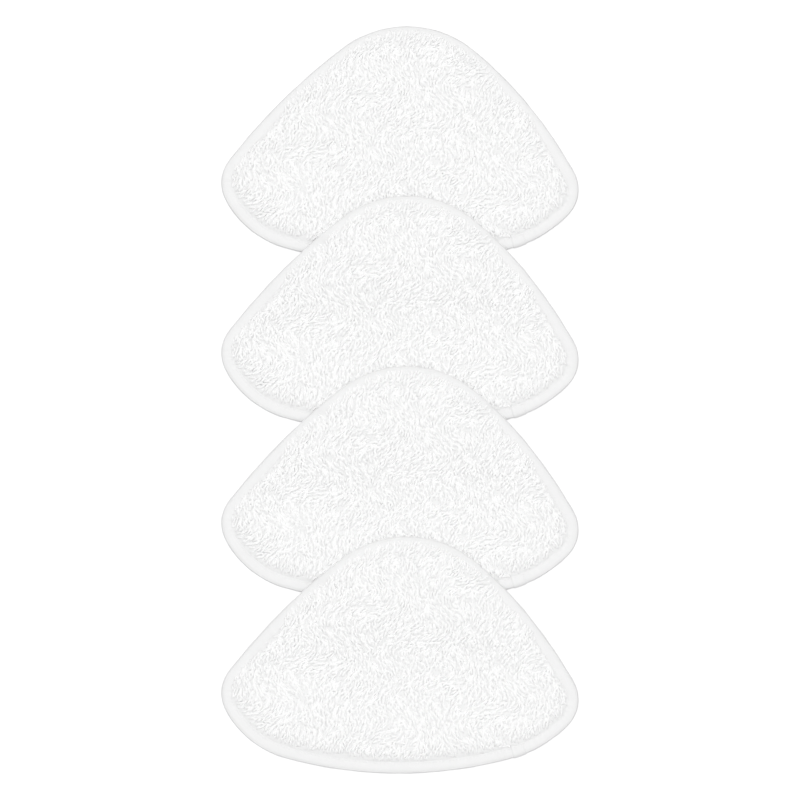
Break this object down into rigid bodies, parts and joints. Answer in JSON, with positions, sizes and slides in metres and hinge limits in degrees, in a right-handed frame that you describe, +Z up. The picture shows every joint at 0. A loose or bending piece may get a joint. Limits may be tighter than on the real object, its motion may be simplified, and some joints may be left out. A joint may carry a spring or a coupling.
{
  "type": "steam mop pad set",
  "caption": "Rounded-triangle microfibre steam mop pads, pile side up, laid in an overlapping column; each has a pile face, a core, a loop-cloth back and a bound edge.",
  "frame": {"origin": "on the floor, under the middle of the whole column of pads", "axes": "+Z up; +Y along the column, the way every pad's rounded apex points; +X across the pads' width"},
  "size_m": [0.31, 0.6484, 0.0189],
  "materials": {
    "microfibre_pile": "matt white twisted microfibre pile",
    "wadding": "needled polyester wadding",
    "loop_cloth": "brushed loop cloth",
    "binding_tape": "smooth knitted polyester tape",
    "sewing_thread": "twisted polyester thread"
  },
  "bodies": {
    "pad_1": {"pad_1_pile_face": "microfibre_pile", "pad_1_absorbent_core": "wadding", "pad_1_loop_backing": "loop_cloth", "pad_1_edge_binding": "binding_tape", "pad_1_needle_thread": "sewing_thread", "pad_1_bobbin_thread": "sewing_thread"},
    "pad_2": {"pad_2_pile_face": "microfibre_pile", "pad_2_absorbent_core": "wadding", "pad_2_loop_backing": "loop_cloth", "pad_2_edge_binding": "binding_tape", "pad_2_needle_thread": "sewing_thread", "pad_2_bobbin_thread": "sewing_thread"},
    "pad_3": {"pad_3_pile_face": "microfibre_pile", "pad_3_absorbent_core": "wadding", "pad_3_loop_backing": "loop_cloth", "pad_3_edge_binding": "binding_tape", "pad_3_needle_thread": "sewing_thread", "pad_3_bobbin_thread": "sewing_thread"},
    "pad_4": {"pad_4_pile_face": "microfibre_pile", "pad_4_absorbent_core": "wadding", "pad_4_loop_backing": "loop_cloth", "pad_4_edge_binding": "binding_tape", "pad_4_needle_thread": "sewing_thread", "pad_4_bobbin_thread": "sewing_thread"}
  },
  "joints": [
    {"name": "pad_2_lift", "type": "slide", "parent": "pad_1", "child": "pad_2", "axis": [0, 0, 1], "range_m": [0, 0.12]},
    {"name": "pad_3_lift", "type": "slide", "parent": "pad_2", "child": "pad_3", "axis": [0, 0, 1], "range_m": [0, 0.12]},
    {"name": "pad_4_lift", "type": "slide", "parent": "pad_3", "child": "pad_4", "axis": [0, 0, 1], "range_m": [0, 0.12]}
  ]
}
